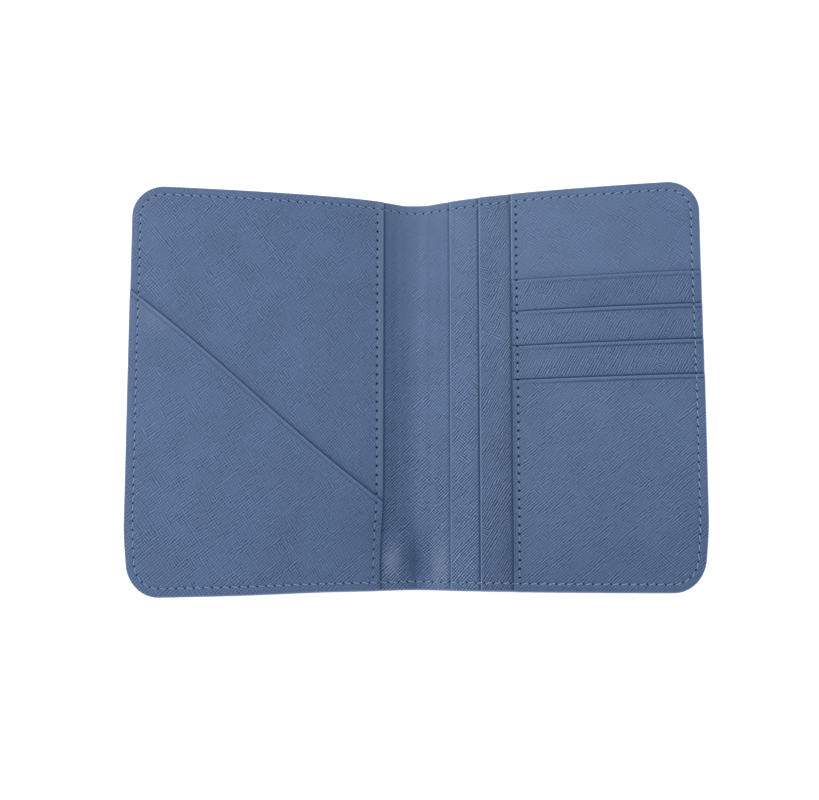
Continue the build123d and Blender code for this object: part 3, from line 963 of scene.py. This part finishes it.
def bonded_board(name, colour):
    """Pressed leather fibre."""
    shader = Shader(name)
    fibre = shader.noise(shader.turned(shader.grain(), 0.3, (0.5, 1.6, 1)), 1.2, 5.0, 1.5)
    ground = shader.mix(fibre, tone(colour, 0.8), tone(colour, 1.2))
    shader.bump(fibre, 0.08 * MM)
    return shader.finish(ground, shader.ramp(fibre, 0.2, 0.8, 0.75, 0.92))


def lining_cloth(name, colour):
    """Plain weave."""
    shader = Shader(name)
    split = shader.add("ShaderNodeSeparateXYZ", {0: shader.turned(shader.grain(), 0.0, (14, 14, 1))})
    threads = [shader.math("SINE", split.outputs[axis]) for axis in (0, 1)]
    weave = shader.math("MULTIPLY_ADD", shader.times(*threads), 0.5, 0.5)
    ground = shader.mix(weave, tone(colour, 0.75), tone(colour, 1.25))
    shader.bump(weave, 0.04 * MM)
    return shader.finish(ground, shader.ramp(weave, 0, 1, 0.95, 0.8), Sheen_Weight=0.3)


BLUE = (0.083, 0.140, 0.272)
# A copy of the blue above darkened as painted shade, for the back cover's streaked slip pocket and card slots
SHADED_BLUE = (0.075, 0.127, 0.247)
outer_leather = leather("outer_leather", BLUE, 0.5, 0.55)
lining_leather = leather("lining_leather", BLUE, 0.36, 0.4)
even_leather = leather("pocket_leather_even", BLUE, 0.48, 0.6)
diagonal_leather = leather("pocket_leather_diagonal", BLUE, 0.56, 0.45)
streaked_leather = leather("pocket_leather_streaked", SHADED_BLUE, 0.36, 0.25, 0.06, FINE_PITCH)
paint = edge_paint("edge_paint", (0.115, 0.175, 0.325))
light_thread = waxed_thread("light_blue_thread", (0.225, 0.37, 0.565))
dark_thread = waxed_thread("dark_blue_thread", (0.17, 0.30, 0.50))
board = bonded_board("bonded_board", (0.45, 0.42, 0.37))
cloth = lining_cloth("lining_cloth", (0.1, 0.13, 0.2))


def declare_sheet(start, end, high, low):
    xs = np.linspace(start, end, 200)
    heights = high(xs) - low(xs)


def outline_low(x):
    return -outline_y(x, PANEL_INSET)


def outline_high(x):
    return outline_y(x, PANEL_INSET)


def flat_line(y):
    """A line across a cover at a constant y."""
    return lambda x: np.full_like(x, y)


PANEL_END = HALF_WIDTH - PANEL_INSET


# ---- Pieces that cross the spine ----

PAST_BEND = 4
BEND_STEP = 0.45


def valley_shade(side, x, y):
    """Painted shade in the bottom of the valley near the tail, and painted light on both sides of it and in
    streaks.
    """
    across = side * x
    shade = spots(across, HALF_HEIGHT + y, VALLEY_SPOTS)
    for amount, centre, width, reach in VALLEY_LIGHT_STREAKS:
        shade = shade + amount * bell(across - centre, width) * ease(y, *reach)
    return shade


def spine_half(name, side, sheet, material, slot, angle, step, lifted):
    """Half of a sheet that runs from the middle of the spine to the edges of a cover."""
    near = spaced(0, HINGE_X + BEND_HALF + PAST_BEND, BEND_STEP)
    columns = np.concatenate([near, cover_columns(near[-1], sheet[1], step, False)[1:]])
    edge = outline_y(columns, PANEL_INSET)
    xs, ys = plan_grid(columns, -edge, edge, EDGE_LINES, EDGE_LINES, 0.8 if step < 1 else 2.0)
    lift = lining_rise(side, xs, ys) if lifted else 0.0
    if lifted:
        sheet = (lining_low(side, xs), sheet[1])
    mouth = SLEEVE_MOUTH if side == FRONT else BACK_SLEEVE_MOUTH
    over = (lambda x, y: mouth - x) if lifted else None
    shade = (lambda x, y: valley_shade(side, x, y)) if lifted else None
    piece = sheet_piece(name, side, sheet, xs, ys, material, slot, angle, None, lift, over=over, shade=shade,
                        crisp=LINING_CRISP, burnish=0.6 if side == FRONT else 0.4, cover_seam=False)
    fold_with(piece)
    return piece


for side in (FRONT, BACK):
    which = NAMES[side]
    skin = spine_half(f"outer_leather_{which}", side, SKIN, outer_leather, "outer_leather", 45, 0.7, False)
    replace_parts(skin, "spine_skin", f"{which}_cover_skin")
    declare_sheet(0, PANEL_END, outline_high, outline_low)
    sheet = FRONT_LINING if side == FRONT else BACK_LINING
    lining = spine_half(f"lining_{which}", side, sheet, lining_leather, "lining_leather", 42, 3.0, True)
    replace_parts(lining, "spine_lining", f"{which}_lining")
    declare_sheet(0, PANEL_END, outline_high, outline_low)
    bead = painted_edge(f"painted_edge_{which}", side, paint)
    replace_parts(bead, "spine_edge_coating", f"{which}_edge_coating")
    sewing = perimeter_thread(f"perimeter_thread_{which}", side, light_thread)
    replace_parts(sewing, "spine_thread", f"{which}_perimeter_thread")

# ---- Boards and the spine's reinforcement ----


def stiffener(name, side, sheet, start, end):
    """A stiff sheet between the outer leather and the lining, kept clear of the seams."""
    board_y = HALF_HEIGHT - BOARD_INSET
    xs, ys = np.meshgrid(spaced(start, end, 2.0), spaced(-board_y, board_y, 4.0), indexing="ij")
    return sheet_piece(name, side, sheet, xs, ys, board, "board", 0)


for side, sheet in ((FRONT, FRONT_BOARD), (BACK, BACK_BOARD)):
    name = f"{NAMES[side]}_board"
    piece = stiffener(name, side, sheet, BOARD_START, HALF_WIDTH - BOARD_INSET)
    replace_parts(piece, f"{NAMES[side]}_cover_board")
    on_cover(piece, side)

strip = stiffener("spine_strip", BACK, SPINE_STRIP, -SPINE_STRIP_HALF, SPINE_STRIP_HALF)
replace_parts(strip, "spine_reinforcement")
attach(strip, "spine")

# ---- Front cover ----

DIAGONAL_SLANT = atan2(DIAGONAL_OUTER_Y - DIAGONAL_INNER_Y, HALF_WIDTH - SLEEVE_MOUTH)


def sleeve_shade(x, y):
    """Shadow under the lower half of the diagonal mouth, and light on the sleeve's own fold."""
    shadow = DIAGONAL_SHADOW * bell(y - diagonal_y(x), DIAGONAL_SHADOW_WIDTH)
    light = SLEEVE_FOLD_LIGHT * bell(x - SLEEVE_MOUTH, SLEEVE_FOLD_WIDTH)
    return shadow * ease(x, *DIAGONAL_SHADOW_REACH) - light


sleeve = full_sheet(
    "front_sleeve", FRONT, FRONT_SLEEVE, SLEEVE_MOUTH, even_leather, 129, burnish=0.57, worn=0.2,
    shade=sleeve_shade, over=lambda x, y: (y - diagonal_y(x)) * cos(DIAGONAL_SLANT),
)
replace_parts(sleeve, "front_sleeve_panel")
on_cover(sleeve, FRONT)
declare_sheet(SLEEVE_MOUTH, PANEL_END, outline_high, outline_low)

# The diagonal pocket carries a patch of painted highlight near its upper outer corner
diagonal = pocket_sheet(
    "diagonal_pocket_leather", FRONT, DIAGONAL, SLEEVE_MOUTH, outline_low, diagonal_y, diagonal_leather, 122,
    shift=31.0, hem=lambda x, y: np.full_like(x, DIAGONAL_HEM), crisp=DIAGONAL_CRISP, worn=0.7,
    shade=lambda x, y: spots(x, y, DIAGONAL_SPOTS),
)
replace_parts(diagonal, "diagonal_pocket")
on_cover(diagonal, FRONT)
declare_sheet(SLEEVE_MOUTH, PANEL_END, diagonal_y, outline_low)

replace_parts(cover_thread("front_sleeve_stitching", FRONT, SLEEVE_SEAM, dark_thread), "front_sleeve_thread")

# ---- Back cover ----

# Each back panel: name, sheet, mouth, leather, grain angle, grain sharpness at the head and at the tail, and
# how dark the painted shadow line by the fold over it is
back_sheets = [
    ("back_sleeve", BACK_SLEEVE, BACK_SLEEVE_MOUTH, lining_leather, 45, (0.75, 2.4), 0.9),
    ("slip_pocket", SLIP, SLIP_MOUTH, streaked_leather, 57, (1.15, 2.45), 0.8),
    ("card_base", CARD_BASE, CARD_EDGE, even_leather, 48, (0.75, 0.75), 0.4),
]
laid_over = {
    "back_sleeve": lambda x, y: SLIP_MOUTH - x,
    "slip_pocket": lambda x, y: CARD_EDGE - x,
    "card_base": lambda x, y: y - SLOT_MOUTHS[0],
}
for name, sheet, mouth, material, angle, crisp, burnish in back_sheets:
    piece = full_sheet(
        name, BACK, sheet, mouth, material, angle, shift=mouth, over=laid_over[name],
        crisp=crisp, burnish=burnish, shade=lambda x, y: patches(x, y, PANEL_SHADES[name]),
    )
    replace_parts(piece, f"{name}_panel")
    on_cover(piece, BACK)
    declare_sheet(mouth, PANEL_END, outline_high, outline_low)


def slot_hem(strength):
    """The turned hem of a card slot, which presses through more towards the outer edge."""
    return lambda x, y: strength * (HEM_AT_SEAM + (1 - HEM_AT_SEAM) * ease(x, *HEM_GROWTH))


def row_shade(x, y):
    """Painted shade on the stepped slots, deeper towards the outer edge, most of all on the first one."""
    return patches(x, y, ROW_SHADES) + spots(x, y, ROW_SPOTS)


for row, (node, sheet) in enumerate(zip(STRIP_NODES, STRIPS)):
    high, low = flat_line(SLOT_MOUTHS[row]), flat_line(STRIP_ENDS[row])
    strip = pocket_sheet(
        f"card_slot_{row + 1}", BACK, sheet, CARD_EDGE, low, high, streaked_leather, 60, sewn_below=False,
        shift=17.0 * row, over=lambda x, y: y - SLOT_MOUTHS[row + 1], hem=slot_hem(ROW_HEM[row]),
        crisp=(ROW_CRISP[row], ROW_CRISP[row]), worn=0.3, shade=row_shade,
    )
    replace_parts(strip, node)
    on_cover(strip, BACK)
    declare_sheet(CARD_EDGE, PANEL_END, high, low)

    tail_low, tail_high = node_box(f"card_pocket_tail_{row + 1}")
    tail_xs, tail_ys = (spaced(start, end, 1.5) for start, end in zip(tail_low.xy, tail_high.xy))
    xs, ys = np.meshgrid(tail_xs, tail_ys, indexing="ij")
    tail_sheet = (sheet[0], TAIL_THICKNESS)
    tail = sheet_piece(f"card_slot_tail_{row + 1}", BACK, tail_sheet, xs, ys, cloth, "cloth", 0)
    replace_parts(tail, f"card_pocket_tail_{row + 1}")
    on_cover(tail, BACK)
    declare_sheet(tail_low.x, tail_high.x, flat_line(tail_high.y), flat_line(tail_low.y))

front_mouth = flat_line(SLOT_MOUTHS[-1])
card_front = pocket_sheet(
    "card_slot_front", BACK, CARD_FRONT, CARD_EDGE, outline_low, front_mouth, streaked_leather, 40,
    shift=71.0, hem=slot_hem(CARD_FRONT_HEM), crisp=CARD_FRONT_CRISP, worn=0.3,
)
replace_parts(card_front, "card_front_pocket")
on_cover(card_front, BACK)
declare_sheet(CARD_EDGE, PANEL_END, front_mouth, outline_low)

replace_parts(cover_thread("card_panel_stitching", BACK, CARD_SEAM, dark_thread), "card_panel_thread")

# ---- Floor, lights and camera ----

FLOOR_HALF = 3.0
FLOOR_Z = -0.0002

mesh = bpy.data.meshes.new("floor")
corners = [(FLOOR_HALF * x, FLOOR_HALF * y, FLOOR_Z) for x, y in ((-1, -1), (1, -1), (1, 1), (-1, 1))]
mesh.from_pydata(corners, [], [(0, 1, 2, 3)])
floor = add_object("floor", mesh)
floor_shader = Shader("pale_floor")
coordinates = floor_shader.add("ShaderNodeTexCoord").outputs["Object"]
mottle = floor_shader.noise(coordinates, 60.0, 3.0)
floor_colour = floor_shader.mix(mottle, (0.9, 0.9, 0.9, 1), (0.92, 0.92, 0.92, 1))
floor_rough = floor_shader.ramp(mottle, 0, 1, 0.85, 0.95)
glow = {"Emission_Color": (1, 1, 1, 1), "Emission_Strength": 0.55}
mesh.materials.append(floor_shader.finish(floor_colour, floor_rough, **glow))

world = bpy.data.worlds.new("studio")
scene.world = world
world.use_nodes = True
background = world.node_tree.nodes["Background"].inputs
background["Color"].default_value = (1, 1, 1, 1)
background["Strength"].default_value = 0.8


def soft_light(name, place_at, size, power):
    """A square softbox that faces the middle of the holder."""
    lamp = bpy.data.lights.new(name, "AREA")
    lamp.shape = "SQUARE"
    lamp.size = size
    lamp.energy = power
    box = add_object(name, lamp)
    box.location = place_at
    box.rotation_mode = "QUATERNION"
    box.rotation_quaternion = (-Vector(place_at)).to_track_quat("-Z", "Y")


soft_light("key", (-0.6, 0.5, 0.8), 0.6, 4.5)

LENS = 49.2
TILT = radians(5.98)
DISTANCE = 0.4071
AIM = Vector((-0.00214, -0.00198, 0.00145))

camera_data = bpy.data.cameras.new("camera")
camera_data.lens = LENS
camera_data.sensor_width = 36.0
camera = add_object("camera", camera_data)
scene.camera = camera
camera.matrix_world = (
    Matrix.Translation(AIM)
    @ Matrix.Rotation(TILT, 4, "X")
    @ Matrix.Translation((0, 0, DISTANCE))
)

scene.view_settings.view_transform = "Standard"
